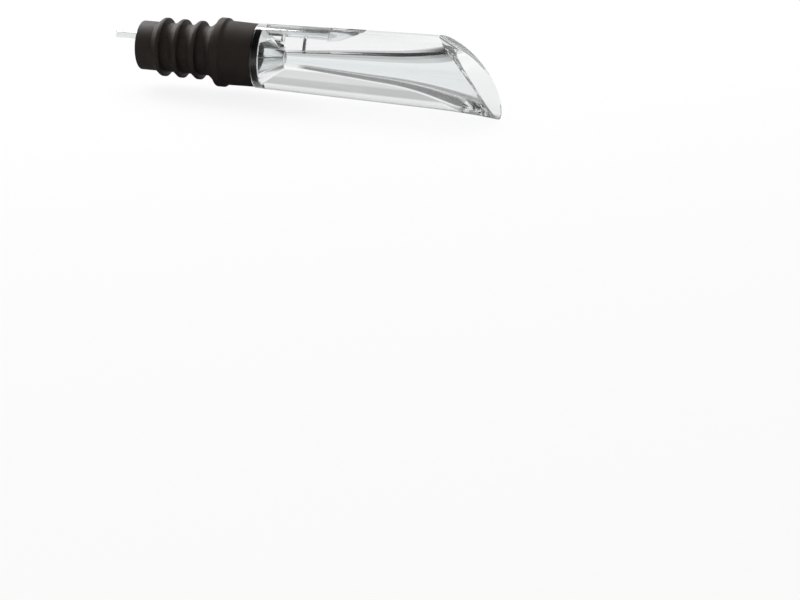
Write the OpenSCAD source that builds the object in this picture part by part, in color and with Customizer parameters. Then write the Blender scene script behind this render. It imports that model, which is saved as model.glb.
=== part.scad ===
// Aerating pourer: a ribbed rubber stopper, a clear inlet nozzle with a vent tube, and a clear pouring
// body with a covered air channel that feeds a jet into its bore.
// +X runs along the pour towards the lip, +Z is the air intake side, and the origin is the centre of
// the stopper's seat face.

/* [Stopper] */
// Diameter of the grip collar next to its bead
collar_d = 21.4; // [19:0.1:26]
// Diameter of the grip collar at its front face
collar_front_d = 20.9; // [19:0.1:26]
// Length of the grip collar
collar_len = 13.4; // [8:0.1:20]
// Diameter of the bead at the seat
bead_d = 23; // [22:0.1:28]
// Length of the bead along the axis
bead_len = 2.4; // [1:0.1:4]
// Rounding of the bead and of the collar's front edge
collar_round = 0.7; // [0.2:0.1:1]
// Length of the plug from the seat to the spigot's end
plug_len = 26; // [20:0.5:34]
// Diameter of the plug between its ribs
plug_d = 16.4; // [15:0.1:17.5]
// Diameter over the sealing ribs
rib_d = 19.6; // [18.5:0.1:21]
// Number of sealing ribs
rib_count = 4; // [2:1:5]
// Length of the flat top of each rib
rib_land = 1.2; // [0.6:0.1:2]
// Length of each rib's slope on its lead side
rib_lead = 2; // [0.8:0.1:2.6]
// Thickness of the wall that closes the plug round the spigot's end
end_wall = 1.5; // [0.8:0.1:3]

/* [Inlet nozzle] */
// Diameter of the spigot inside the stopper
spigot_d = 13; // [12:0.1:14]
// Diameter of the bore in the spigot
spigot_bore_d = 10.4; // [8.8:0.1:11]
// Height of the snap ridge round the spigot
ridge_h = 0.4; // [0.2:0.05:0.7]
// Length of the snap ridge
ridge_len = 1.6; // [0.8:0.1:3]
// Distance of the snap ridge from the spigot's end
ridge_setback = 6; // [2:0.5:10]
// Distance of the funnel's inlet behind the collar's front face
inlet_setback = 1.3; // [0.8:0.1:3]
// Diameter of the hub that carries the seal
hub_d = 12.4; // [11.6:0.1:13]
// Length of the conical nose in front of the hub
nose_len = 8.3; // [6:0.1:10]
// Diameter of the nose at its tip
nose_tip_d = 4.6; // [4.2:0.1:5.2]
// Height of the key flat on the nose above the axis
key_flat_h = 4.6; // [4.4:0.05:4.9]
// Diameter of the funnel at its inlet
funnel_in_d = 5.2; // [4:0.1:5.6]
// Diameter of the funnel at the tip
funnel_out_d = 2; // [1.4:0.1:2.2]
// Distance of the funnel's outlet below the axis
funnel_out_drop = 0.7; // [0.3:0.05:0.9]

/* [Seal ring] */
// Diameter of the seal ring's section
seal_section_d = 2.2; // [1.4:0.1:2.3]

/* [Vent tube] */
// Outer diameter of the vent tube
vent_od = 2.4; // [2:0.1:2.6]
// Inner diameter of the vent tube
vent_id = 1.6; // [1:0.1:1.8]
// Height of the vent tube above the axis
vent_rise = 3; // [2.7:0.05:3.1]
// Length of the vent tube behind the plug
vent_tail = 9.5; // [4:0.5:30]
// Distance of the vent tube's front end behind the tip
vent_setback = 1.8; // [1:0.1:3]

/* [Pour body] */
// Diameter of the body at its rear face
body_d = 21.5; // [20:0.1:26]
// Diameter of the body where the top of the mouth is cut
mouth_d = 24; // [22:0.1:28]
// Diameter of the flared lip
lip_d = 26.9; // [25:0.1:31]
// Length of the body's top side, from the rear face to the mouth
top_len = 61.2; // [54:0.2:70]
// Distance that the lip reaches past the top of the mouth
lip_reach = 21.4; // [15:0.2:28]
// Bulge of the mouth's cut face off a flat cut
mouth_bulge = 2.3; // [0.5:0.1:4]
// Thickness of the wall at the lip
lip_wall = 0.6; // [0.4:0.05:1.2]
// Diameter of the bore at the throat
throat_d = 3.5; // [3:0.1:4.2]
// Diameter of the bore where it begins to open out
bore_neck_d = 7.6; // [6:0.1:9]
// Length of the straight taper from the throat
bore_taper_len = 35.1; // [30:0.1:40]

/* [Air channel] */
// Height of the duct's floor above the axis
duct_floor_h = 5.75; // [5.1:0.05:6.4]
// Height of the duct under the cover
duct_h = 1.1; // [0.8:0.1:2.2]
// Width of the duct
duct_w = 2.4; // [1.8:0.1:3]
// Width of the cover strip and of the scoop
cover_w = 3.6; // [3.2:0.1:3.9]
// Length of the cover strip
cover_len = 21.8; // [16:0.1:26]
// Distance of the cover strip from the body's rear face
cover_setback = 2.9; // [2.8:0.1:5]
// Length of the open scoop in front of the cover
scoop_len = 11.8; // [8:0.2:16]
// Diameter of the port from the duct to the vent tube
port_d = 1.5; // [0.8:0.1:1.7]

/* [Air jet] */
// Outer diameter of the jet tube
jet_od = 1.3; // [0.9:0.05:1.8]
// Inner diameter of the jet tube
jet_id = 0.7; // [0.4:0.05:0.8]
// Distance of the jet tube from the body's rear face
jet_setback = 16.9; // [13:0.1:20]
// Depth of the jet tube's top below the duct's floor
jet_recess = 1.2; // [0:0.1:1.6]

/* [Clearances] */
// Radial clearance of the spigot in the stopper
spin_clear = 0.05; // [0.02:0.01:0.1]
// Gap between the collar's front face and the body
face_clear = 0.1; // [0.05:0.01:0.2]
// Gap round the nose in its seat
seat_clear = 0.1; // [0.05:0.01:0.15]
// Gap round the seal ring
seal_clear = 0.05; // [0.03:0.01:0.1]
// Gap round the cover strip
cover_clear = 0.06; // [0.03:0.01:0.1]
// Radial clearance of the vent tube in the nozzle
vent_clear = 0.04; // [0.02:0.01:0.1]
// Radial clearance of the jet tube in the body
jet_clear = 0.02; // [0.01:0.01:0.05]

/* [Hidden] */
$fn = 96;

// Amount by which a cutting shape passes the face that it opens
over = 1;
// Size of a block that takes away everything on one side of a face
block = 4 * (top_len + lip_reach + lip_d);
// Number of steps in a flared outline
flare_steps = 14;
// Steps in a rounded edge
round_steps = 6;

// Stations along the axis, from the plug to the lip
plug_end_x = -plug_len - end_wall;
rib_pitch = (plug_len - rib_land) / rib_count;
inlet_x = collar_len - inlet_setback;
hub_end_x = collar_len + seal_section_d + 2 * seal_clear;
tip_x = hub_end_x + nose_len;
body_x = collar_len + face_clear;
seat_x = hub_end_x + seat_clear;
throat_x = tip_x + seat_clear;
neck_x = throat_x + bore_taper_len;
mouth_x = body_x + top_len;
lip_x = mouth_x + lip_reach;
cover_x = body_x + cover_setback;
scoop_x = cover_x + cover_len;
scoop_end_x = scoop_x + scoop_len;
jet_x = body_x + jet_setback;
vent_front_x = tip_x - vent_setback;

// Radii and heights that follow from the sizes above
ridge_r = spigot_d / 2 + ridge_h;
seal_r = hub_d / 2 + seal_clear + seal_section_d / 2;
seal_bore_r = seal_r + seal_section_d / 2 + seal_clear;
vent_hole_r = vent_od / 2 + vent_clear;
duct_roof_h = duct_floor_h + duct_h;
funnel_in_drop = (spigot_bore_d - funnel_in_d) / 2;
body_slope = (mouth_d - body_d) / 2 / top_len;
bore_slope = (bore_neck_d - throat_d) / 2 / bore_taper_len;

// Radius of an outline that leaves a straight taper and reaches radius r1 at x1
function flare_r(x, x0, r0, x1, r1, slope) =
    r0 + slope * (x - x0) + (r1 - r0 - slope * (x1 - x0)) * pow((x - x0) / (x1 - x0), 2);
function outer_r(x) =
    x < mouth_x ? body_d / 2 + body_slope * (x - body_x)
                : flare_r(x, mouth_x, mouth_d / 2, lip_x, lip_d / 2, body_slope);
function bore_r(x) =
    x < neck_x ? throat_d / 2 + bore_slope * (x - throat_x)
               : flare_r(x, neck_x, bore_neck_d / 2, lip_x, lip_d / 2 - lip_wall, bore_slope);
// Radius of the nose at a station, with room round it
function nose_r(x, room) =
    hub_d / 2 + room + (nose_tip_d - hub_d) / 2 * (x - hub_end_x) / nose_len;
// Quarter round from the side at radius r to the face at x, towards +X for way 1 and -X for way -1
function edge_round(r, x, size, way) =
    [for (i = [0 : round_steps])
        let (a = 90 * (way > 0 ? i : round_steps - i) / round_steps)
        [r - size + size * cos(a), x - way * size + way * size * sin(a)]];

// Turns a profile of [radius, x] points about the X axis
module turned(points) {
    rotate([0, 90, 0])
        rotate_extrude()
            polygon(points);
}

// Round bar along X
module bar_x(x0, x1, r0, r1) {
    translate([x0, 0, 0])
        rotate([0, 90, 0])
            cylinder(h = x1 - x0, r1 = r0, r2 = r1);
}

// One sealing rib, whose flat top ends at x on the seat side
module rib(x) {
    lead = min(rib_lead, rib_pitch - rib_land);
    turned([[0, x - rib_land - lead], [plug_d / 2, x - rib_land - lead], [rib_d / 2, x - rib_land],
            [rib_d / 2, x], [0, x]]);
}

module stopper() {
    bead_end = bead_len + (bead_d - collar_d) / 2;
    color([0.27, 0.25, 0.23])
        difference() {
            union() {
                bar_x(plug_end_x, 0, plug_d / 2, plug_d / 2);
                for (i = [0 : rib_count - 1])
                    rib(-i * rib_pitch);
                turned(concat([[0, 0]], edge_round(bead_d / 2, 0, collar_round, -1),
                              [[bead_d / 2, bead_len], [collar_d / 2, bead_end]],
                              edge_round(collar_front_d / 2, collar_len, collar_round, 1), [[0, collar_len]]));
            }
            bar_x(-plug_len - spin_clear, collar_len + over, spigot_d / 2 + spin_clear, spigot_d / 2 + spin_clear);
            bar_x(plug_end_x - over, 0, spigot_bore_d / 2, spigot_bore_d / 2);
            snap_ring(spin_clear);
        }
}

// Ring that keeps the spigot in the stopper, with room round it for the groove
module snap_ring(room) {
    x0 = -plug_len + ridge_setback - room;
    bar_x(x0, x0 + ridge_len + 2 * room, ridge_r + room, ridge_r + room);
}

// Conical nose with its key flat, with room round it for the seat
module nose(room) {
    intersection() {
        bar_x(hub_end_x + room, tip_x + room, nose_r(hub_end_x, room), nose_r(tip_x, room));
        translate([hub_end_x - over, -block / 2, key_flat_h + room - block])
            cube([nose_len + 2 * over + room, block, block]);
    }
}

// Tilted funnel from the bottom of the spigot's bore to the tip
module funnel() {
    run = tip_x - inlet_x;
    tilt = atan2(funnel_in_drop - funnel_out_drop, run);
    taper = (funnel_out_d - funnel_in_d) / 2 / run;
    reach = over / 4;
    translate([inlet_x - reach, 0, -funnel_in_drop - reach * tan(tilt)])
        rotate([0, 90 - tilt, 0])
            cylinder(h = (run + 2 * reach) / cos(tilt), r1 = funnel_in_d / 2 - taper * reach,
                     r2 = funnel_out_d / 2 + taper * reach);
}

module inlet_nozzle() {
    color([0.86, 0.9, 0.92, 0.45])
        difference() {
            union() {
                bar_x(-plug_len, collar_len, spigot_d / 2, spigot_d / 2);
                snap_ring(0);
                bar_x(inlet_x, hub_end_x, hub_d / 2, hub_d / 2);
                nose(0);
            }
            bar_x(-plug_len - over, inlet_x, spigot_bore_d / 2, spigot_bore_d / 2);
            funnel();
            translate([0, 0, vent_rise])
                bar_x(inlet_x - over, tip_x + over, vent_hole_r, vent_hole_r);
        }
}

module vent_tube() {
    rear_x = plug_end_x - vent_tail;
    color([0.84, 0.88, 0.9, 0.6])
        translate([0, 0, vent_rise])
            difference() {
                bar_x(rear_x, vent_front_x, vent_od / 2, vent_od / 2);
                bar_x(rear_x - over, vent_front_x + over, vent_id / 2, vent_id / 2);
            }
}

module seal_ring() {
    color([0.06, 0.06, 0.06])
        translate([collar_len + seal_clear + seal_section_d / 2, 0, 0])
            rotate([0, 90, 0])
                rotate_extrude()
                    translate([seal_r, 0])
                        circle(d = seal_section_d);
}

// Outside of the pouring body before its mouth is cut
module body_blank() {
    end_x = lip_x + over;
    turned(concat([[0, body_x], [body_d / 2, body_x]],
                  [for (i = [0 : flare_steps])
                      let (x = mouth_x + (end_x - mouth_x) * i / flare_steps)
                      [outer_r(x), x]],
                  [[0, end_x]]));
}

// Bore of the pouring body, from the throat to past the lip
module pour_bore() {
    end_x = lip_x + 2 * over;
    turned(concat([[0, throat_x - seat_clear], [throat_d / 2, throat_x - seat_clear], [throat_d / 2, throat_x]],
                  [for (i = [0 : flare_steps])
                      let (x = neck_x + (end_x - neck_x) * i / flare_steps)
                      [bore_r(x), x]],
                  [[0, end_x]]));
}

// Everything in front of the mouth's cut face, which is an arc over the chord from its top to the lip
module mouth_cut() {
    run = lip_x - mouth_x;
    drop = (mouth_d + lip_d) / 2;
    chord = norm([run, drop]);
    arc_r = (chord * chord / 4 + mouth_bulge * mouth_bulge) / (2 * mouth_bulge);
    translate([(mouth_x + lip_x) / 2, 0, (mouth_d - lip_d) / 4])
        rotate([0, -atan2(run, drop), 0])
            difference() {
                translate([0, -block / 2, -block / 2])
                    cube([block, block, block]);
                translate([mouth_bulge - arc_r, 0, 0])
                    rotate([90, 0, 0])
                        cylinder(h = 2 * block, r = arc_r, center = true, $fn = 360);
            }
}

// Upright slot with a round rear end, from x0 to x1
module slot(x0, x1, w, z0) {
    h = lip_d;
    translate([x0 + w / 2, 0, z0])
        cylinder(h = h, d = w);
    translate([x0 + w / 2, -w / 2, z0])
        cube([x1 - x0 - w / 2, w, h]);
}

// Open scoop that curves from the duct's floor up to the body's outside
module scoop() {
    rise = outer_r(scoop_end_x) - duct_floor_h;
    scoop_r = (scoop_len * scoop_len + rise * rise) / (2 * rise);
    intersection() {
        translate([scoop_x, 0, duct_floor_h + scoop_r])
            rotate([90, 0, 0])
                cylinder(h = cover_w, r = scoop_r, center = true, $fn = 180);
        translate([scoop_x, -cover_w, 0])
            cube([2 * scoop_len, 2 * cover_w, duct_floor_h + scoop_r]);
    }
}

module pour_body() {
    port_x = vent_front_x + port_d / 2;
    pocket_r = vent_hole_r + seat_clear;
    color([0.88, 0.92, 0.94, 0.35])
        difference() {
            body_blank();
            bar_x(body_x - over, seat_x, seal_bore_r, seal_bore_r);
            nose(seat_clear);
            pour_bore();
            mouth_cut();
            slot(cover_x + (cover_w - duct_w) / 2, scoop_x, duct_w, duct_floor_h);
            slot(cover_x, scoop_x, cover_w, duct_roof_h);
            scoop();
            translate([0, 0, vent_rise])
                bar_x(seat_x - seat_clear, port_x + port_d / 2, pocket_r, pocket_r);
            translate([port_x, 0, vent_rise])
                cylinder(h = duct_roof_h - vent_rise, d = port_d);
            translate([jet_x, 0, 0])
                cylinder(h = duct_roof_h, r = jet_od / 2 + jet_clear);
        }
}

module channel_cover() {
    color([0.9, 0.94, 0.95, 0.4])
        intersection() {
            body_blank();
            slot(cover_x + cover_clear, scoop_x, cover_w - 2 * cover_clear, duct_roof_h);
        }
}

module air_jet() {
    foot_h = bore_r(jet_x);
    jet_len = duct_floor_h - jet_recess - foot_h;
    color([0.35, 0.36, 0.37])
        translate([jet_x, 0, foot_h])
            difference() {
                cylinder(h = jet_len, d = jet_od);
                translate([0, 0, -over])
                    cylinder(h = jet_len + 2 * over, d = jet_id);
            }
}

stopper();
inlet_nozzle();
vent_tube();
seal_ring();
pour_body();
channel_cover();
air_jet();
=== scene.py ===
import math

import bmesh
import bpy
from mathutils import Matrix, Vector


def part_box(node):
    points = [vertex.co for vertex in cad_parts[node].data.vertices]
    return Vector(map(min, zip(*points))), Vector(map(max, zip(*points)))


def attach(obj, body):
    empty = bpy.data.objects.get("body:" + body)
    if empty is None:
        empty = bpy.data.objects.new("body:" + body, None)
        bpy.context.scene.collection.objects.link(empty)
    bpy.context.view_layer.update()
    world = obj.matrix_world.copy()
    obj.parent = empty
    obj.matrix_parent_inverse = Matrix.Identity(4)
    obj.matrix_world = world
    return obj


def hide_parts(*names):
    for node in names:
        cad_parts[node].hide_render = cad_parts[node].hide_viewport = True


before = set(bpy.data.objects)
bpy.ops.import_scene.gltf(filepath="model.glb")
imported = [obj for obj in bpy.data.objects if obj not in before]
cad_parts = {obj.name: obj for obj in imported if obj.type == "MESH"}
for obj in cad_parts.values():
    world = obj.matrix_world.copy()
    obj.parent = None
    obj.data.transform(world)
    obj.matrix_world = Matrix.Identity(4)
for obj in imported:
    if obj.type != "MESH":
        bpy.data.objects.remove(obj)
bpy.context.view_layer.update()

mm = 0.001
turnSteps = 256  # faces round the clear pieces
smoothAngle = math.radians(28)
# small lengths in mm: corners this close become one, while cutting and in a finished piece
mergeRoom = 1e-4
finishRoom = 1e-3
planeRoom = 1e-5  # corners this close lie on a cutting plane
hair = 0.01  # tools pass a face by this much where the cut has to stay short
over = 1  # and by this much elsewhere
reach = 20  # far outside the part, across the axis


def millimetres(node):
    low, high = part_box(node)
    return low / mm, high / mm


def ends(node, axis="x"):
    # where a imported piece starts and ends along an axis
    return [getattr(corner, axis) for corner in millimetres(node)]


# turning, cutting and finishing, all in millimetres until a piece is finished
def spinRound(bm, steps):
    # one whole turn of the section about X
    bmesh.ops.spin(bm, geom=bm.verts[:] + bm.edges[:], cent=(0, 0, 0), axis=(1, 0, 0), dvec=(0, 0, 0),
                   angle=2 * math.pi, steps=steps, use_merge=True, use_normal_flip=False,
                   use_duplicate=False)
    bmesh.ops.remove_doubles(bm, verts=bm.verts, dist=mergeRoom)
    bmesh.ops.recalc_face_normals(bm, faces=bm.faces)


def turned(profile, steps=turnSteps, closed=True):
    # stations and radii; a profile that isn't closed starts and ends on the axis
    bm = bmesh.new()
    verts = [bm.verts.new((x, 0, r)) for x, r in profile]
    pairs = list(zip(verts, verts[1:]))
    if closed:
        pairs.append((verts[-1], verts[0]))
    for pair in pairs:
        bm.edges.new(pair)
    spinRound(bm, steps)
    return bm


def softenEdges(bm, offset, segments=3, sharper=35, keep=lambda edge: True):
    # rounds the edges that are sharper than an angle in degrees
    sharp = math.radians(sharper)
    edges = [e for e in bm.edges if e.is_manifold and e.calc_face_angle(0) > sharp and keep(e)]
    bmesh.ops.bevel(bm, geom=edges, offset=offset, offset_type="OFFSET", affect="EDGES", segments=segments,
                    profile=0.5, material=-1, clamp_overlap=True, loop_slide=True)


def pipe(start, end, size):
    # tube along X with softened ends
    bm = turned([(start, size["inR"]), (start, size["outR"]), (end, size["outR"]), (end, size["inR"])],
                size["steps"])
    softenEdges(bm, size["round"], segments=2)
    return bm


def plainRod(start, end, r0, r1, steps=96):
    # solid round bar from start to end, for cutting
    bm = bmesh.new()
    axis = Vector(end) - Vector(start)
    bmesh.ops.create_cone(bm, cap_ends=True, cap_tris=False, segments=steps, radius1=r0, radius2=r1,
                          depth=axis.length)
    turn = Vector((0, 0, 1)).rotation_difference(axis).to_matrix().to_4x4()
    middle = Matrix.Translation((Vector(start) + Vector(end)) / 2)
    bmesh.ops.transform(bm, matrix=middle @ turn, verts=bm.verts)
    return bm


def plainBlock(low, high):
    bm = bmesh.new()
    low, high = Vector(low), Vector(high)
    bmesh.ops.create_cube(bm, size=1)
    bmesh.ops.scale(bm, vec=high - low, verts=bm.verts)
    bmesh.ops.translate(bm, vec=(low + high) / 2, verts=bm.verts)
    return bm


def meshObject(name, bm):
    mesh = bpy.data.meshes.new(name)
    bm.to_mesh(mesh)
    bm.free()
    obj = bpy.data.objects.new(name, mesh)
    bpy.context.scene.collection.objects.link(obj)
    return obj


def cutWith(bm, tools, operation="DIFFERENCE"):
    # one Boolean after another, then the result comes back as a bmesh
    obj = meshObject("cutting", bm)
    for tool in tools:
        toolObj = meshObject("tool", tool)
        cut = obj.modifiers.new("cut", "BOOLEAN")
        cut.operation = operation
        cut.solver = "EXACT"
        cut.object = toolObj
        bpy.context.view_layer.update()
        evaluated = obj.evaluated_get(bpy.context.evaluated_depsgraph_get())
        result = bpy.data.meshes.new_from_object(evaluated)
        obj.modifiers.clear()
        obj.data = result
        bpy.data.objects.remove(toolObj)
    out = bmesh.new()
    out.from_mesh(obj.data)
    bpy.data.objects.remove(obj)
    bmesh.ops.remove_doubles(out, verts=out.verts, dist=mergeRoom)
    bmesh.ops.dissolve_degenerate(out, edges=out.edges, dist=mergeRoom)
    return out


def finishPiece(name, bm, body, node, material):
    bmesh.ops.remove_doubles(bm, verts=bm.verts, dist=finishRoom)
    bmesh.ops.dissolve_degenerate(bm, edges=bm.edges, dist=finishRoom)
    bmesh.ops.scale(bm, vec=(mm, mm, mm), verts=bm.verts)
    obj = meshObject(name, bm)
    obj.data.shade_smooth()
    obj.data.set_sharp_from_angle(angle=smoothAngle)
    obj.data.materials.append(material)
    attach(obj, body)
    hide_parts(node)
    print("piece", name, len(obj.data.polygons), "faces")
    return obj


# materials
def newMaterial(name):
    material = bpy.data.materials.new(name)
    material.use_nodes = True
    nodes = material.node_tree.nodes
    links = material.node_tree.links
    return material, nodes, links, nodes["Principled BSDF"]


def addNode(nodes, kind, **values):
    # a value names a setting of the node or else one of its sockets
    node = nodes.new(kind)
    for key, value in values.items():
        if hasattr(node, key):
            setattr(node, key, value)
        else:
            node.inputs[key.replace("_", " ")].default_value = value
    return node


def addNoise(nodes, links, vector, **values):
    noise = addNode(nodes, "ShaderNodeTexNoise", **values)
    links.new(vector, noise.inputs["Vector"])
    return noise.outputs["Fac"]


def stretched(nodes, links, vector, scale):
    stretch = addNode(nodes, "ShaderNodeMapping", Scale=scale)
    links.new(vector, stretch.inputs["Vector"])
    return stretch.outputs["Vector"]


def roughnessFrom(nodes, links, bsdf, source, look, **ranges):
    rough = addNode(nodes, "ShaderNodeMapRange", To_Min=look["roughLow"], To_Max=look["roughHigh"], **ranges)
    links.new(source, rough.inputs["Value"])
    links.new(rough.outputs["Result"], bsdf.inputs["Roughness"])


def bumpFrom(nodes, links, bsdf, source, strength, depth):
    bump = addNode(nodes, "ShaderNodeBump", Strength=strength, Distance=depth)
    links.new(source, bump.inputs["Height"])
    links.new(bump.outputs["Normal"], bsdf.inputs["Normal"])


def rampBetween(nodes, low, high, lowColour, highColour):
    ramp = nodes.new("ShaderNodeValToRGB")
    ramp.color_ramp.elements[0].position = low
    ramp.color_ramp.elements[1].position = high
    ramp.color_ramp.elements[0].color = (*lowColour, 1)
    ramp.color_ramp.elements[1].color = (*highColour, 1)
    return ramp


# mottled rubber with a fine grain
rubberLook = {"dark": (0.0185, 0.0134, 0.0110), "light": (0.0274, 0.0206, 0.0171), "mottleScale": 160,
              "mottleFrom": 0.3, "mottleTo": 0.72, "roughLow": 0.54, "roughHigh": 0.70, "grainScale": 2600,
              "grain": 0.12, "grainDepth": 0.0001, "specular": 0.3}


def rubberMaterial(name, look):
    material, nodes, links, bsdf = newMaterial(name)
    place = addNode(nodes, "ShaderNodeTexCoord").outputs["Object"]
    mottle = addNoise(nodes, links, place, Scale=look["mottleScale"], Detail=6, Roughness=0.6)
    grain = addNoise(nodes, links, place, Scale=look["grainScale"], Detail=3, Roughness=0.55)
    colour = rampBetween(nodes, look["mottleFrom"], look["mottleTo"], look["dark"], look["light"])
    links.new(mottle, colour.inputs["Fac"])
    links.new(colour.outputs["Color"], bsdf.inputs["Base Color"])
    roughnessFrom(nodes, links, bsdf, grain, look)
    bumpFrom(nodes, links, bsdf, grain, look["grain"], look["grainDepth"])
    bsdf.inputs["Specular IOR Level"].default_value = look["specular"]
    return material


# clear plastic with a faint flow in its surface and a light haze
clearLook = {"tint": (0.92, 0.935, 0.935), "shadowTint": (0.93, 0.945, 0.945), "ior": 1.49, "flowScale": 70,
             "flowStretch": (0.35, 1, 1), "flow": 0.012, "flowDepth": 0.002, "hazeScale": 900,
             "hazeFrom": 0.5, "hazeTo": 0.8, "roughLow": 0.0, "roughHigh": 0.035}


def clearMaterial(name, look):
    material, nodes, links, bsdf = newMaterial(name)
    bsdf.inputs["Base Color"].default_value = (*look["tint"], 1)
    bsdf.inputs["Transmission Weight"].default_value = 1
    bsdf.inputs["IOR"].default_value = look["ior"]
    place = addNode(nodes, "ShaderNodeTexCoord").outputs["Object"]
    along = stretched(nodes, links, place, look["flowStretch"])
    flow = addNoise(nodes, links, along, Scale=look["flowScale"], Detail=2, Roughness=0.45)
    bumpFrom(nodes, links, bsdf, flow, look["flow"], look["flowDepth"])
    haze = addNoise(nodes, links, place, Scale=look["hazeScale"], Detail=5, Roughness=0.7)
    roughnessFrom(nodes, links, bsdf, haze, look, From_Min=look["hazeFrom"], From_Max=look["hazeTo"])
    # light passes straight through where a shadow would fall
    ray = addNode(nodes, "ShaderNodeLightPath")
    through = addNode(nodes, "ShaderNodeBsdfTransparent")
    through.inputs["Color"].default_value = (*look["shadowTint"], 1)
    mix = addNode(nodes, "ShaderNodeMixShader")
    links.new(ray.outputs["Is Shadow Ray"], mix.inputs["Fac"])
    links.new(bsdf.outputs["BSDF"], mix.inputs[1])
    links.new(through.outputs["BSDF"], mix.inputs[2])
    links.new(mix.outputs["Shader"], nodes["Material Output"].inputs["Surface"])
    return material


# steel with drawn lines
steelLook = {"colour": (0.16, 0.16, 0.165), "lineScale": 4200, "lineStretch": (1, 1, 0.03), "lines": 0.08,
             "lineDepth": 0.00005, "roughLow": 0.22, "roughHigh": 0.42}


def steelMaterial(name, look):
    material, nodes, links, bsdf = newMaterial(name)
    place = addNode(nodes, "ShaderNodeTexCoord").outputs["Object"]
    along = stretched(nodes, links, place, look["lineStretch"])
    lines = addNoise(nodes, links, along, Scale=look["lineScale"], Detail=4)
    roughnessFrom(nodes, links, bsdf, lines, look)
    bumpFrom(nodes, links, bsdf, lines, look["lines"], look["lineDepth"])
    bsdf.inputs["Base Color"].default_value = (*look["colour"], 1)
    bsdf.inputs["Metallic"].default_value = 1
    return material


sealLook = {**rubberLook, "dark": (0.003, 0.003, 0.0035), "light": (0.006, 0.006, 0.007), "roughLow": 0.3,
            "roughHigh": 0.45, "specular": 0.08}
tubeLook = {**clearLook, "tint": (0.90, 0.92, 0.915), "roughHigh": 0.06}
stopperRubber = rubberMaterial("stopper_rubber", rubberLook)
sealRubber = rubberMaterial("seal_rubber", sealLook)
clearAcrylic = clearMaterial("clear_acrylic", clearLook)
clearTube = clearMaterial("clear_tube", tubeLook)
jetSteel = steelMaterial("jet_steel", steelLook)
print("materials made")

# stations along the axis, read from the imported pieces
plugEnd, collarFront = ends("stopper")
spigotEnd, tipFront = ends("inlet_nozzle")
bodyRear, lipFront = ends("pour_body")
coverRear, coverFront = ends("channel_cover")
sealRear, sealFront = ends("seal_ring")
tubeRear, tubeFront = ends("vent_tube")
tubeHeight = sum(ends("vent_tube", "z")) / 2
jetPlace = sum(ends("air_jet")) / 2

# rubber stopper
stopper = {"collarR": 10.7, "collarFrontR": 10.45, "beadR": 11.5, "beadLength": 2.4, "coreR": 8.2,
           "ribR": 9.8, "ribs": 4, "land": 1.2, "lead": 2.0, "endHoleR": 5.2, "endRoom": 0.05, "boreR": 6.55,
           "ridgeR": 6.95, "ridgeRear": -20.05, "ridgeFront": -18.35, "round": 0.35, "steps": 160}
ribPitch = (-spigotEnd - stopper["land"]) / stopper["ribs"]
profile = [(plugEnd, stopper["endHoleR"]), (plugEnd, stopper["coreR"])]
for i in reversed(range(stopper["ribs"])):
    top = -i * ribPitch
    land = top - stopper["land"]
    profile += [(land - stopper["lead"], stopper["coreR"]), (land, stopper["ribR"]), (top, stopper["ribR"])]
    if i:
        profile.append((top, stopper["coreR"]))
beadStep = stopper["beadR"] - stopper["collarR"]
boreRear = spigotEnd - stopper["endRoom"]
profile += [(0, stopper["beadR"]), (stopper["beadLength"], stopper["beadR"]),
            (stopper["beadLength"] + beadStep, stopper["collarR"]), (collarFront, stopper["collarFrontR"]),
            (collarFront, stopper["boreR"]), (stopper["ridgeFront"], stopper["boreR"]),
            (stopper["ridgeFront"], stopper["ridgeR"]), (stopper["ridgeRear"], stopper["ridgeR"]),
            (stopper["ridgeRear"], stopper["boreR"]), (boreRear, stopper["boreR"]),
            (boreRear, stopper["endHoleR"])]
bm = turned(profile, stopper["steps"])
softenEdges(bm, stopper["round"], segments=4, sharper=20)
finishPiece("rubber_stopper", bm, "stopper", "stopper", stopperRubber)

# clear inlet nozzle with its hub, nose, funnel and tube hole; funnelPast is a share of the funnel's length
nozzle = {"spigotR": 6.5, "boreR": 5.2, "ridgeR": 6.9, "ridgeRear": -20.0, "ridgeFront": -18.4,
          "inletSetback": 1.3, "hubR": 6.2, "hubRoom": 0.05, "tipR": 2.3, "keyHeight": 4.6, "funnelInR": 2.6,
          "funnelOutR": 1.0, "funnelInDrop": 2.6, "funnelOutDrop": 0.7, "funnelPast": 0.03,
          "tubeHoleR": 1.24, "round": 0.12}
inlet = collarFront - nozzle["inletSetback"]
hubFront = sealFront + nozzle["hubRoom"]
bm = turned([(inlet, 0), (inlet, nozzle["boreR"]), (spigotEnd, nozzle["boreR"]),
             (spigotEnd, nozzle["spigotR"]), (nozzle["ridgeRear"], nozzle["spigotR"]),
             (nozzle["ridgeRear"], nozzle["ridgeR"]), (nozzle["ridgeFront"], nozzle["ridgeR"]),
             (nozzle["ridgeFront"], nozzle["spigotR"]), (collarFront, nozzle["spigotR"]),
             (collarFront, nozzle["hubR"]), (hubFront, nozzle["hubR"]), (tipFront, nozzle["tipR"]),
             (tipFront, 0)], closed=False)
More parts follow.
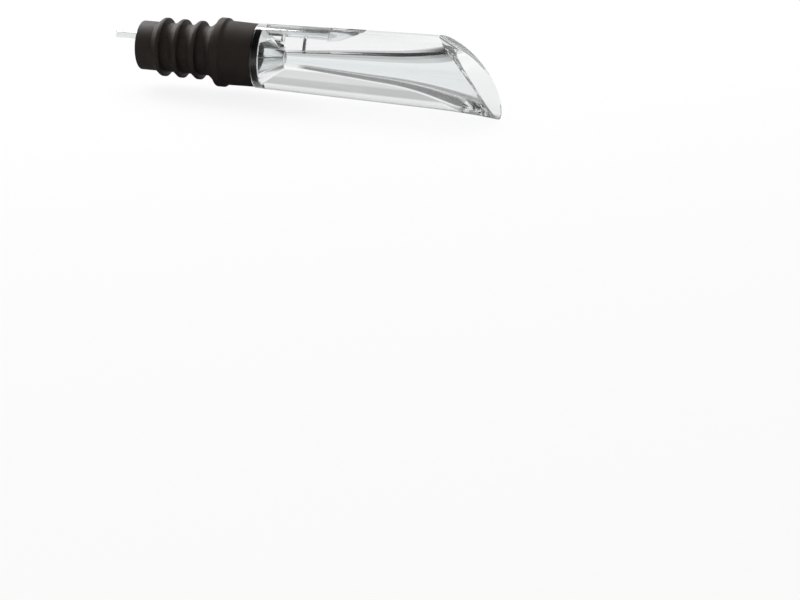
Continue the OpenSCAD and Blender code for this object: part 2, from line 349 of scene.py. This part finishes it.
# each flat end becomes one face, because the funnel's top passes close to its middle
bmesh.ops.dissolve_verts(bm, verts=[v for v in bm.verts if math.hypot(v.co.y, v.co.z) < mergeRoom])
softenEdges(bm, nozzle["round"], sharper=20)
slope = Vector((tipFront - inlet, 0, nozzle["funnelInDrop"] - nozzle["funnelOutDrop"]))
funnelIn = Vector((inlet, 0, -nozzle["funnelInDrop"]))
taper = nozzle["funnelOutR"] - nozzle["funnelInR"]
past = nozzle["funnelPast"]
funnel = plainRod(funnelIn - slope * past, funnelIn + slope * (1 + past), nozzle["funnelInR"] - taper * past,
                  nozzle["funnelOutR"] + taper * past, turnSteps)
tubeHole = plainRod((inlet - over, 0, tubeHeight), (tipFront + over, 0, tubeHeight), nozzle["tubeHoleR"],
                    nozzle["tubeHoleR"])
keyBlock = plainBlock((hubFront, -reach, nozzle["keyHeight"]), (tipFront + over, reach, reach))
bm = cutWith(bm, [keyBlock, funnel, tubeHole])
finishPiece("clear_nozzle", bm, "nozzle", "inlet_nozzle", clearAcrylic)

# vent tube
tube = {"outR": 1.2, "inR": 0.8, "round": 0.1, "steps": 64}
bm = pipe(tubeRear, tubeFront, tube)
bmesh.ops.translate(bm, vec=(0, 0, tubeHeight), verts=bm.verts)
finishPiece("vent_pipe", bm, "nozzle", "vent_tube", clearTube)

# seal ring
seal = {"sectionR": (sealFront - sealRear) / 2, "sectionSteps": 48, "steps": 128}
ringR = ends("seal_ring", "z")[1] - seal["sectionR"]
bm = bmesh.new()
section = bmesh.ops.create_circle(bm, segments=seal["sectionSteps"], radius=seal["sectionR"])["verts"]
bmesh.ops.rotate(bm, verts=section, matrix=Matrix.Rotation(math.pi / 2, 3, "X"))
bmesh.ops.translate(bm, verts=section, vec=((sealRear + sealFront) / 2, 0, ringR))
spinRound(bm, seal["steps"])
finishPiece("rubber_seal", bm, "nozzle", "seal_ring", sealRubber)

# clear pouring body; flareLead is how far behind the mouth the stations come close together
pour = {"rearR": 10.75, "mouthR": 12.0, "lipR": 13.45, "topLength": 61.2, "lipWall": 0.6, "bulge": 2.3,
        "sealBoreR": 8.5, "seatRoom": 0.1, "throatR": 1.75, "throatLand": 0.2, "neckR": 3.8,
        "taperLength": 35.1, "flareLead": 3, "flareSteps": 40, "past": 1.5, "mouthCuts": 4, "rimRound": 0.22}
seatRear = hubFront + pour["seatRoom"]
throatRear = tipFront + pour["seatRoom"]
mouthTop = bodyRear + pour["topLength"]
neck = throatRear + pour["taperLength"]
bodySlope = (pour["mouthR"] - pour["rearR"]) / pour["topLength"]
boreSlope = (pour["neckR"] - pour["throatR"]) / pour["taperLength"]


def flareR(x, x0, r0, x1, r1, slope):
    # leaves a straight taper at x0 and reaches r1 at x1
    share = (x - x0) / (x1 - x0)
    return r0 + slope * (x - x0) + (r1 - r0 - slope * (x1 - x0)) * share * share


def outerR(x):
    if x < mouthTop:
        return pour["rearR"] + bodySlope * (x - bodyRear)
    return flareR(x, mouthTop, pour["mouthR"], lipFront, pour["lipR"], bodySlope)


def boreR(x):
    if x < neck:
        return pour["throatR"] + boreSlope * (x - throatRear)
    return flareR(x, neck, pour["neckR"], lipFront, pour["lipR"] - pour["lipWall"], boreSlope)


def between(start, end, steps):
    return [start + (end - start) * i / steps for i in range(steps + 1)]


farEnd = lipFront + pour["past"]
outerStations = [bodyRear] + between(mouthTop - pour["flareLead"], farEnd, pour["flareSteps"])
boreStations = [throatRear + pour["throatLand"]] + between(neck, farEnd, pour["flareSteps"])
blank = [(x, outerR(x)) for x in outerStations]
bore = [(x, boreR(x)) for x in reversed(boreStations)]
socket = [(seatRear, pour["throatR"]), (seatRear, pour["sealBoreR"]), (bodyRear, pour["sealBoreR"])]
bm = turned(blank + bore + socket)

# the mouth: the arc is straightened, cut flat, closed and bent back
run = lipFront - mouthTop
drop = pour["mouthR"] + pour["lipR"]
chord = math.hypot(run, drop)
arcR = (chord * chord / 4 + pour["bulge"] ** 2) / (2 * pour["bulge"])
cutNormal = Vector((drop, 0, run)) / chord
cutMiddle = Vector(((mouthTop + lipFront) / 2, 0, (pour["mouthR"] - pour["lipR"]) / 2))
arcCentre = cutMiddle - cutNormal * (arcR - pour["bulge"])


def arcShift(z):
    straight = mouthTop + (pour["mouthR"] - z) * run / drop
    return arcCentre.x + math.sqrt(arcR ** 2 - (z - arcCentre.z) ** 2) - straight


def shiftAlong(bm, way):
    for vert in bm.verts:
        vert.co.x += way * arcShift(vert.co.z)


def cutAway(bm, point, normal):
    # takes off what lies beyond a plane and leaves the cut open
    bmesh.ops.bisect_plane(bm, geom=bm.verts[:] + bm.edges[:] + bm.faces[:], dist=planeRoom, plane_co=point,
                           plane_no=normal, clear_outer=True, clear_inner=False)
    return [e for e in bm.edges if e.is_boundary]


shiftAlong(bm, -1)
rim = cutAway(bm, cutMiddle, cutNormal)
cutFace = bmesh.ops.bridge_loops(bm, edges=rim)
across = [e for e in cutFace["edges"] if e.is_valid]
bmesh.ops.subdivide_edges(bm, edges=across, cuts=pour["mouthCuts"], use_grid_fill=True)
shiftAlong(bm, 1)
bmesh.ops.recalc_face_normals(bm, faces=bm.faces)
softenEdges(bm, pour["rimRound"])

# air channel and scoop in the top of the body
channel = {"floor": 5.75, "roof": ends("channel_cover", "z")[0], "ductW": 2.4, "coverW": 3.6,
           "scoopLength": 11.8, "portR": 0.75, "pocketR": 1.34, "jetHoleR": 0.67, "coverRoom": 0.06,
           "coverLift": 0.04, "scoopRound": 0.35, "edgeRound": 0.12, "ductRound": 0.2, "slotSteps": 64,
           "scoopSteps": 360, "holeSteps": 48}
coverHalf = channel["coverW"] / 2
slotRear = coverRear - channel["coverRoom"]


def slotTool(rear, front, width, floor):
    # upright slot with a round rear end and a softened bottom
    half = width / 2
    bm = plainRod((rear + half, 0, floor), (rear + half, 0, reach), half, half, channel["slotSteps"])
    block = plainBlock((rear + half, -half, floor), (front, half, reach))
    bm = cutWith(bm, [block], "UNION")
    softenEdges(bm, channel["ductRound"], sharper=60,
                keep=lambda e: all(v.co.z < floor + hair for v in e.verts))
    return bm


scoopRise = outerR(coverFront + channel["scoopLength"]) - channel["floor"]
scoopR = (channel["scoopLength"] ** 2 + scoopRise ** 2) / (2 * scoopRise)
scoopHeight = channel["floor"] + scoopR
scoop = plainRod((coverFront, -coverHalf, scoopHeight), (coverFront, coverHalf, scoopHeight), scoopR, scoopR,
                 channel["scoopSteps"])
scoopCut = cutAway(scoop, (coverFront, 0, 0), (-1, 0, 0))
bmesh.ops.holes_fill(scoop, edges=scoopCut, sides=0)
bmesh.ops.recalc_face_normals(scoop, faces=scoop.faces)
softenEdges(scoop, channel["scoopRound"], segments=6, sharper=60,
            keep=lambda e: min(v.co.x for v in e.verts) > coverFront + finishRoom)

room = pour["seatRoom"]
seat = turned([(hubFront, 0), (hubFront, nozzle["hubR"] + room), (seatRear, nozzle["hubR"] + room),
               (throatRear, nozzle["tipR"] + room), (throatRear, 0)], closed=False)
seatBlock = plainBlock((hubFront - over, -reach, nozzle["keyHeight"] + room),
                       (throatRear + over, reach, reach))
seat = cutWith(seat, [seatBlock])
portPlace = tubeFront + channel["portR"]
ductRear = slotRear + (channel["coverW"] - channel["ductW"]) / 2
slotFront = coverFront + hair
tools = [
    seat,
    plainRod((hubFront, 0, tubeHeight), (portPlace + channel["portR"], 0, tubeHeight), channel["pocketR"],
             channel["pocketR"]),
    slotTool(ductRear, slotFront, channel["ductW"], channel["floor"]),
    slotTool(slotRear, slotFront, channel["coverW"], channel["roof"]),
    scoop,
    plainRod((portPlace, 0, tubeHeight), (portPlace, 0, channel["roof"]), channel["portR"], channel["portR"],
             channel["holeSteps"]),
    plainRod((jetPlace, 0, 0), (jetPlace, 0, channel["roof"]), channel["jetHoleR"], channel["jetHoleR"],
             channel["holeSteps"]),
]
bm = cutWith(bm, tools)

# room in mm round the slot and the scoop when their outer edges are looked for
edgeRoom = {"aside": 0.05, "above": 0.5, "behind": 0.1, "ahead": 0.3, "skin": 0.02}


def onTopEdge(edge):
    # edges of the slot and the scoop on the outside of the body
    front = coverFront + channel["scoopLength"] + edgeRoom["ahead"]
    for vert in edge.verts:
        x, y, z = vert.co
        inLength = slotRear - edgeRoom["behind"] < x < front
        inSlot = abs(y) < coverHalf + edgeRoom["aside"] and z > channel["roof"] + edgeRoom["above"]
        onSkin = abs(math.hypot(y, z) - outerR(x)) < edgeRoom["skin"]
        if not (inLength and inSlot and onSkin):
            return False
    return True


softenEdges(bm, channel["edgeRound"], sharper=25, keep=onTopEdge)
finishPiece("clear_body", bm, "spout", "pour_body", clearAcrylic)

# clear strip over the air channel
strip = slotTool(coverRear, coverFront, channel["coverW"] - 2 * channel["coverRoom"],
                 channel["roof"] + channel["coverLift"])
outside = turned([(bodyRear, 0), (bodyRear, pour["rearR"]), (mouthTop, pour["mouthR"]), (mouthTop, 0)],
                 closed=False)
bm = cutWith(strip, [outside], "INTERSECT")
softenEdges(bm, channel["edgeRound"], sharper=40)
finishPiece("clear_cover", bm, "spout", "channel_cover", clearAcrylic)

# steel air jet
jet = {"outR": 0.65, "inR": 0.35, "round": 0.05, "steps": 48}
jetLow, jetHigh = ends("air_jet", "z")
bm = pipe(jetLow, jetHigh, jet)
bmesh.ops.rotate(bm, verts=bm.verts, matrix=Matrix.Rotation(-math.pi / 2, 3, "Y"))
bmesh.ops.translate(bm, vec=(jetPlace, 0, 0), verts=bm.verts)
finishPiece("steel_jet", bm, "spout", "air_jet", jetSteel)

# floor, lamps and camera; the floor's fade and its painted shade are in metres
stageLook = {"floorHeight": -13.7, "floorSize": 6000, "floorColour": (0.45, 0.45, 0.45), "glow": 0.87,
             "mirrorDim": 0.1, "fadeFrom": 0.004, "fadeTo": 0.012}
# painted shade on the floor that only the clear pieces see, a dark band across the floor at the seal and a
# painted shadow under the body: middle and half size along X and Y, and a soft edge
sealPaintedShade = {"X": (0.002, 0.016), "Y": (0, 10), "soft": 0.004, "level": 0.1}
bodyPaintedShadow = {"X": (0.057, 0.028), "Y": (0.0015, 0.0055), "soft": 0.003, "level": 0.25}


def seenByEye(nodes, links):
    # 1 for rays that make the picture: straight, mirrored or through a clear piece
    ray = addNode(nodes, "ShaderNodeLightPath")
    either = addNode(nodes, "ShaderNodeMath", operation="MAXIMUM")
    seen = addNode(nodes, "ShaderNodeMath", operation="MAXIMUM")
    links.new(ray.outputs["Is Camera Ray"], either.inputs[0])
    links.new(ray.outputs["Is Glossy Ray"], either.inputs[1])
    links.new(either.outputs[0], seen.inputs[0])
    links.new(ray.outputs["Is Transmission Ray"], seen.inputs[1])
    return seen.outputs[0]


def distanceFrom(nodes, links, output, middle):
    offset = addNode(nodes, "ShaderNodeMath", operation="SUBTRACT")
    links.new(output, offset.inputs[0])
    offset.inputs[1].default_value = middle
    away = addNode(nodes, "ShaderNodeMath", operation="ABSOLUTE")
    links.new(offset.outputs[0], away.inputs[0])
    return away.outputs[0]


def onPaintedShade(nodes, links, parts, paintedShade):
    # 1 off the painted shade and its darker level on it
    off = addNode(nodes, "ShaderNodeMath", operation="MAXIMUM")
    for i, axis in enumerate("XY"):
        middle, half = paintedShade[axis]
        edge = addNode(nodes, "ShaderNodeMapRange", From_Min=half, From_Max=half + paintedShade["soft"],
                       To_Min=paintedShade["level"], To_Max=1)
        links.new(distanceFrom(nodes, links, parts.outputs[axis], middle), edge.inputs["Value"])
        links.new(edge.outputs["Result"], off.inputs[i])
    return off.outputs[0]


def dimInFront(nodes, links, coordinate, look, paintedShades=()):
    # straight and clear views see the full room, but surfaces mirror a dim one on the camera's side
    place = addNode(nodes, "ShaderNodeTexCoord")
    parts = addNode(nodes, "ShaderNodeSeparateXYZ")
    links.new(place.outputs[coordinate], parts.inputs["Vector"])
    fade = addNode(nodes, "ShaderNodeMapRange", From_Min=look["fadeFrom"], From_Max=look["fadeTo"],
                   To_Min=stageLook["mirrorDim"], To_Max=1)
    links.new(parts.outputs["Y"], fade.inputs["Value"])
    ray = addNode(nodes, "ShaderNodeLightPath")
    direct = addNode(nodes, "ShaderNodeMath", operation="MAXIMUM")
    strength = addNode(nodes, "ShaderNodeMath", operation="MAXIMUM")
    clear = ray.outputs["Is Transmission Ray"]
    # clear views also see the painted shade on the floor
    for paintedShade in paintedShades:
        least = addNode(nodes, "ShaderNodeMath", operation="MINIMUM")
        links.new(clear, least.inputs[0])
        links.new(onPaintedShade(nodes, links, parts, paintedShade), least.inputs[1])
        clear = least.outputs[0]
    links.new(ray.outputs["Is Camera Ray"], direct.inputs[0])
    links.new(clear, direct.inputs[1])
    links.new(direct.outputs[0], strength.inputs[0])
    links.new(fade.outputs["Result"], strength.inputs[1])
    return strength.outputs[0]


def floorMaterial(look):
    material, nodes, links, bsdf = newMaterial("floor")
    bsdf.inputs["Base Color"].default_value = (*look["floorColour"], 1)
    bsdf.inputs["Roughness"].default_value = 0.9
    bsdf.inputs["Specular IOR Level"].default_value = 0
    share = addNode(nodes, "ShaderNodeMath", operation="MULTIPLY")
    share.inputs[1].default_value = look["glow"]
    links.new(seenByEye(nodes, links), share.inputs[0])
    white = addNode(nodes, "ShaderNodeEmission")
    white.inputs["Color"].default_value = (1, 1, 1, 1)
    strength = dimInFront(nodes, links, "Object", look, (sealPaintedShade, bodyPaintedShadow))
    links.new(strength, white.inputs["Strength"])
    mix = addNode(nodes, "ShaderNodeMixShader")
    links.new(share.outputs[0], mix.inputs["Fac"])
    links.new(bsdf.outputs["BSDF"], mix.inputs[1])
    links.new(white.outputs["Emission"], mix.inputs[2])
    links.new(mix.outputs["Shader"], nodes["Material Output"].inputs["Surface"])
    return material


bm = bmesh.new()
bmesh.ops.create_grid(bm, x_segments=2, y_segments=2, size=stageLook["floorSize"] / 2)
bmesh.ops.translate(bm, vec=(0, 0, stageLook["floorHeight"]), verts=bm.verts)
bmesh.ops.scale(bm, vec=(mm, mm, mm), verts=bm.verts)
floor = meshObject("floor", bm)
floor.data.materials.append(floorMaterial(stageLook))

lamps = [
    {"name": "key", "place": (-40, 380, 370), "size": (900, 500), "power": 5.5, "mirrored": False},
    {"name": "rim", "place": (-440, 300, 400), "size": (440, 300), "power": 6.0, "mirrored": True},
    {"name": "front", "place": (-180, -380, 300), "size": (300, 200), "power": 0.3, "mirrored": False},
]
lampAim = Vector((40, 0, 0)) * mm
for lamp in lamps:
    light = bpy.data.lights.new(lamp["name"], "AREA")
    light.shape = "RECTANGLE"
    light.size = lamp["size"][0] * mm
    light.size_y = lamp["size"][1] * mm
    light.energy = lamp["power"]
    obj = bpy.data.objects.new(lamp["name"], light)
    obj.location = Vector(lamp["place"]) * mm
    obj.rotation_euler = (lampAim - obj.location).to_track_quat("-Z", "Y").to_euler()
    obj.visible_transmission = False  # no lamp shows through the clear pieces
    obj.visible_glossy = lamp["mirrored"]
    bpy.context.scene.collection.objects.link(obj)

# brightness of the room by height: behind the part, to the sides of the strip and on the camera's side
studio = {"lightLow": 0.08, "lightHigh": 1.0,
          "behind": ((0.17, 0.8), (0.22, 0.62), (0.42, 0.62), (0.50, 1.0), (0.86, 1.0), (0.92, 0.03)),
          "aside": ((0.17, 0.8), (0.22, 0.62), (0.42, 0.62), (0.48, 0.8), (0.52, 0.8), (0.60, 0.03)),
          "front": ((0.1, 0.5), (0.2, 0.3), (0.48, 0.3), (0.58, 0.03)), "stripMiddle": -0.12,
          "stripHalf": 0.08, "fadeFrom": -0.35, "fadeTo": 0.0, "leftFrom": -0.6, "leftTo": -0.4,
          "leftLevel": 0.06}
world = bpy.data.worlds.new("studio")
bpy.context.scene.world = world
world.use_nodes = True
wNodes = world.node_tree.nodes
wLinks = world.node_tree.links
lighting = wNodes["Background"]
lighting.inputs["Color"].default_value = (1, 1, 1, 1)
seenRoom = addNode(wNodes, "ShaderNodeBackground")
way = addNode(wNodes, "ShaderNodeTexCoord")
wayParts = addNode(wNodes, "ShaderNodeSeparateXYZ")
wLinks.new(way.outputs["Generated"], wayParts.inputs["Vector"])
overhead = addNode(wNodes, "ShaderNodeMapRange", From_Min=0, From_Max=1, To_Min=studio["lightLow"],
                   To_Max=studio["lightHigh"])
wLinks.new(wayParts.outputs["Z"], overhead.inputs["Value"])
wLinks.new(overhead.outputs["Result"], lighting.inputs["Strength"])


def heightRamp(stops):
    ramp = wNodes.new("ShaderNodeValToRGB")
    elements = ramp.color_ramp.elements
    for i, (height, level) in enumerate(stops):
        stop = elements[i] if i < 2 else elements.new(height)
        stop.position = height
        stop.color = (level, level, level, 1)
    wLinks.new(wayParts.outputs["Z"], ramp.inputs["Fac"])
    return ramp.outputs["Color"]


def mixColours(factor, first, second):
    mix = addNode(wNodes, "ShaderNodeMix", data_type="RGBA")
    wLinks.new(factor, mix.inputs["Factor"])
    wLinks.new(first, mix.inputs["A"])
    wLinks.new(second, mix.inputs["B"])
    return mix.outputs["Result"]


depth = addNode(wNodes, "ShaderNodeMapRange", From_Min=studio["fadeFrom"], From_Max=studio["fadeTo"],
                To_Min=0, To_Max=1)
wLinks.new(wayParts.outputs["Y"], depth.inputs["Value"])
# a bright strip runs overhead behind the part, with dark to both sides of it
aside = addNode(wNodes, "ShaderNodeMapRange", From_Min=studio["stripHalf"], From_Max=2 * studio["stripHalf"],
                To_Min=0, To_Max=1)
fromStrip = distanceFrom(wNodes, wLinks, wayParts.outputs["X"], studio["stripMiddle"])
wLinks.new(fromStrip, aside.inputs["Value"])
rear = mixColours(aside.outputs["Result"], heightRamp(studio["behind"]), heightRamp(studio["aside"]))
shade = mixColours(depth.outputs["Result"], heightRamp(studio["front"]), rear)
# straight views see plain white, and the clear pieces a dark room on the stopper's side
eye = addNode(wNodes, "ShaderNodeLightPath")
backdrop = addNode(wNodes, "ShaderNodeMix", data_type="RGBA")
wLinks.new(eye.outputs["Is Camera Ray"], backdrop.inputs["Factor"])
wLinks.new(shade, backdrop.inputs["A"])
backdrop.inputs["B"].default_value = (1, 1, 1, 1)
wLinks.new(backdrop.outputs["Result"], seenRoom.inputs["Color"])
left = addNode(wNodes, "ShaderNodeMapRange", From_Min=studio["leftFrom"], From_Max=studio["leftTo"],
               To_Min=studio["leftLevel"], To_Max=1)
wLinks.new(wayParts.outputs["X"], left.inputs["Value"])
leftOrEye = addNode(wNodes, "ShaderNodeMath", operation="MAXIMUM")
wLinks.new(left.outputs["Result"], leftOrEye.inputs[0])
wLinks.new(eye.outputs["Is Camera Ray"], leftOrEye.inputs[1])
roomLevel = addNode(wNodes, "ShaderNodeMath", operation="MULTIPLY")
wLinks.new(dimInFront(wNodes, wLinks, "Generated", studio), roomLevel.inputs[0])
wLinks.new(leftOrEye.outputs[0], roomLevel.inputs[1])
wLinks.new(roomLevel.outputs[0], seenRoom.inputs["Strength"])
mixWorld = addNode(wNodes, "ShaderNodeMixShader")
wLinks.new(seenByEye(wNodes, wLinks), mixWorld.inputs["Fac"])
wLinks.new(lighting.outputs["Background"], mixWorld.inputs[1])
wLinks.new(seenRoom.outputs["Background"], mixWorld.inputs[2])
wLinks.new(mixWorld.outputs["Shader"], wNodes["World Output"].inputs["Surface"])
bpy.context.scene.view_settings.view_transform = "Standard"
lightTurns = 256  # light turns many times inside the clear body
for limit in ("max_bounces", "glossy_bounces", "transmission_bounces"):
    setattr(bpy.context.scene.cycles, limit, lightTurns)

# the camera stands where the photograph was taken from; aim is a point on the axis, aimPixel where it shows
shot = {"azimuth": 14.0, "elevation": 13.5, "roll": 1.9, "distance": 523, "focalPixels": 1570,
        "aim": (50, 0, 0), "aimPixel": (364.9, 65.3), "frameSize": (800, 600), "sensorWidth": 36}
azimuth, elevation, roll = (math.radians(shot[key]) for key in ("azimuth", "elevation", "roll"))
back = Vector((math.sin(azimuth) * math.cos(elevation), -math.cos(azimuth) * math.cos(elevation),
               math.sin(elevation)))
level = Vector((0, 0, 1)).cross(back).normalized()
upright = back.cross(level)
right = level * math.cos(roll) + upright * math.sin(roll)
up = upright * math.cos(roll) - level * math.sin(roll)
frameWidth, frameHeight = shot["frameSize"]
pixelX, pixelY = shot["aimPixel"]
sight = Vector((pixelX - frameWidth / 2, frameHeight / 2 - pixelY, -shot["focalPixels"])).normalized()
sideways = (Vector((1, 0, 0)) + sight * -sight.x).normalized()
inCamera = Matrix((sideways, (-sight).cross(sideways), -sight)).transposed()
inWorld = Matrix((right, up, back))
camera = bpy.data.cameras.new("camera")
camera.sensor_width = shot["sensorWidth"]
camera.lens = shot["focalPixels"] / frameWidth * camera.sensor_width
camera.clip_start = 0.01
camera.clip_end = 20
cameraObject = bpy.data.objects.new("camera", camera)
cameraPlace = (Vector(shot["aim"]) + back * shot["distance"]) * mm
cameraObject.matrix_world = Matrix.Translation(cameraPlace) @ (inCamera @ inWorld).transposed().to_4x4()
bpy.context.scene.collection.objects.link(cameraObject)
bpy.context.scene.camera = cameraObject
print("stage set")
